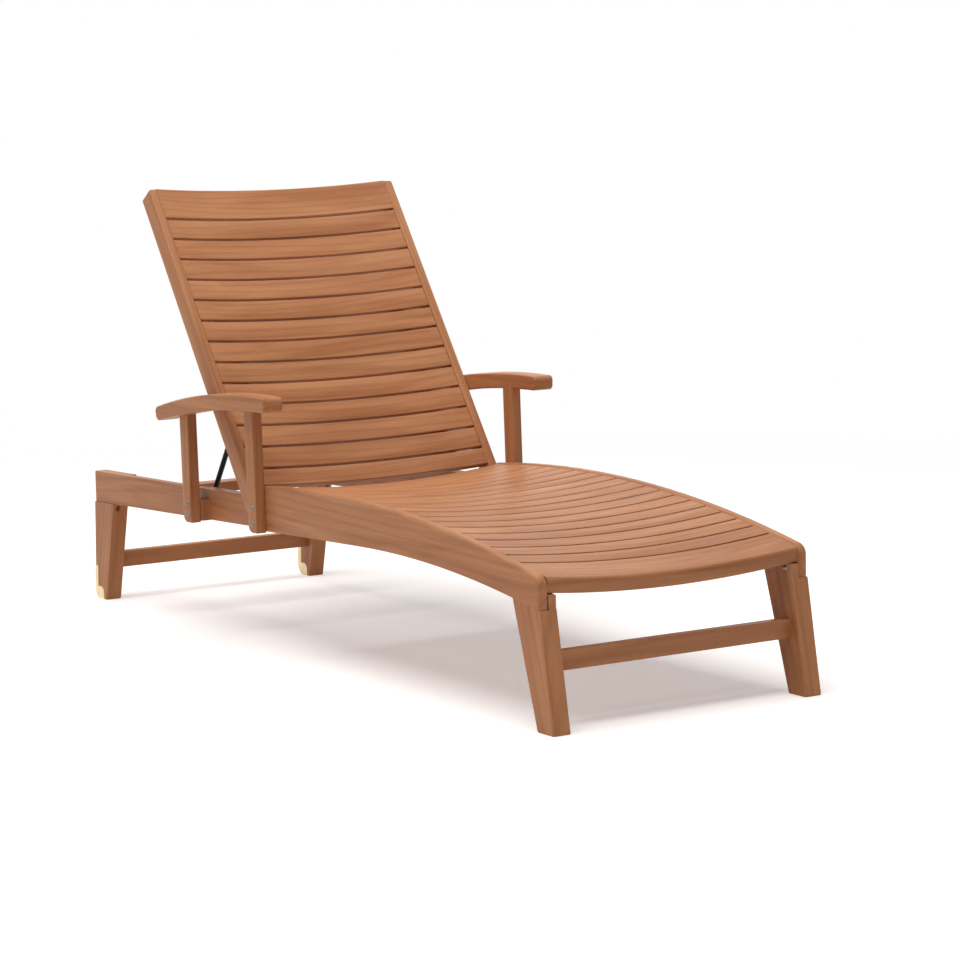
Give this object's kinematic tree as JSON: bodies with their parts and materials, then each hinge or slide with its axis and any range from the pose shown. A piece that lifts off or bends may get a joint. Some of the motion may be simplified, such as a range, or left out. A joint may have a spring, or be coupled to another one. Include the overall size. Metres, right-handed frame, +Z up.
{
  "type": "sun lounger",
  "caption": "Slatted wooden sun lounger with an arched seat, armrests on posts, tapered legs and a reclining back held by a prop bar in notched rear rails.",
  "frame": {"origin": "on the ground, at the bottom centre of the bounding box, midway between the front and the rear feet", "axes": "+X towards the foot end of the seat, +Y on the sitter's left, +Z up"},
  "size_m": [2, 0.75, 0.9969],
  "materials": {
    "teak": "oiled hardwood, satin",
    "brass": "pale satin brass",
    "black_steel": "black powder coat on steel",
    "stainless": "plain stainless steel"
  },
  "bodies": {
    "frame": {"armrest_left": "teak", "armrest_right": "teak", "frame_bolts": "stainless", "front_board": "teak", "front_leg_left": "teak", "front_leg_right": "teak", "front_post_left": "teak", "front_post_right": "teak", "front_stretcher": "teak", "post_blocks": "teak", "rear_cross_rail": "teak", "rear_leg_left": "teak", "rear_leg_right": "teak", "rear_post_left": "teak", "rear_post_right": "teak", "rear_rail_left": "teak", "rear_rail_right": "teak", "rear_shoes": "brass", "rear_stretcher": "teak", "seat_rail_left": "teak", "seat_rail_right": "teak", "seat_slat_01": "teak", "seat_slat_02": "teak", "seat_slat_03": "teak", "seat_slat_04": "teak", "seat_slat_05": "teak", "seat_slat_06": "teak", "seat_slat_07": "teak", "seat_slat_08": "teak", "seat_slat_09": "teak", "seat_slat_10": "teak", "seat_slat_11": "teak", "seat_slat_12": "teak", "seat_slat_13": "teak", "seat_slat_14": "teak", "seat_slat_15": "teak", "seat_slat_16": "teak", "seat_slat_17": "teak", "seat_slat_18": "teak", "seat_slat_19": "teak"},
    "backrest": {"back_battens": "teak", "back_slat_01": "teak", "back_slat_02": "teak", "back_slat_03": "teak", "back_slat_04": "teak", "back_slat_05": "teak", "back_slat_06": "teak", "back_slat_07": "teak", "back_slat_08": "teak", "back_slat_09": "teak", "back_slat_10": "teak", "back_slat_11": "teak", "back_slat_12": "teak", "back_slat_13": "teak", "back_stile_left": "teak", "back_stile_right": "teak", "back_top_board": "teak"},
    "prop": {"prop_arms": "black_steel", "prop_shaft": "black_steel"}
  },
  "joints": [
    {"name": "back_recline", "type": "hinge", "parent": "frame", "child": "backrest", "pos_m": [-0.1845, 0, 0.32369], "axis": [0, -1, 0], "range_deg": [0, 57]},
    {"name": "prop_swing", "type": "hinge", "parent": "backrest", "child": "prop", "pos_m": [-0.33499, 0, 0.51087], "axis": [0, -1, 0], "range_deg": [-114, 0]}
  ],
  "couplings": [
    {"joint": "prop_swing", "follows": "back_recline", "ratio": -2}
  ]
}
